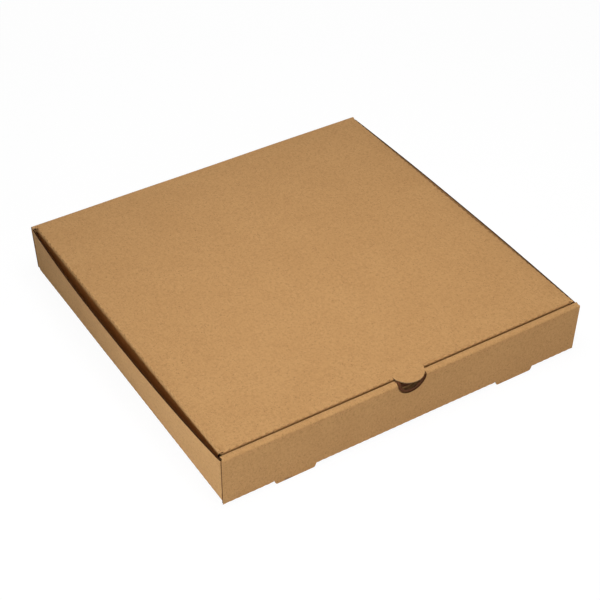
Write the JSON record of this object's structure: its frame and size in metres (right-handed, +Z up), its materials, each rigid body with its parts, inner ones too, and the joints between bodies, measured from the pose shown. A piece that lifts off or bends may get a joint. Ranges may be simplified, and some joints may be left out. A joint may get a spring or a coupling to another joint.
{
  "type": "pizza box",
  "caption": "Flat square folding box of kraft corrugated board with a rolled, locked front wall, a thumb notch, feet under the front wall and a hinged lid that tucks inside the walls.",
  "frame": {"origin": "on the ground under the middle of the box's bounding box, at the lower edge of the feet", "axes": "+Z up, out of the closed lid; -Y towards the front wall with the thumb notch; +X to the right seen from the front"},
  "size_m": [0.3112, 0.3077, 0.0455],
  "materials": {
    "kraft_board": "matte brown kraft liner"
  },
  "bodies": {
    "tray": {"tray": "kraft_board"},
    "lid": {"lid": "kraft_board"}
  },
  "joints": [
    {"name": "lid_hinge", "type": "hinge", "parent": "tray", "child": "lid", "pos_m": [0.0005, 0.15385, 0.0455], "axis": [-1, 0, 0], "range_deg": [0, 180]}
  ]
}
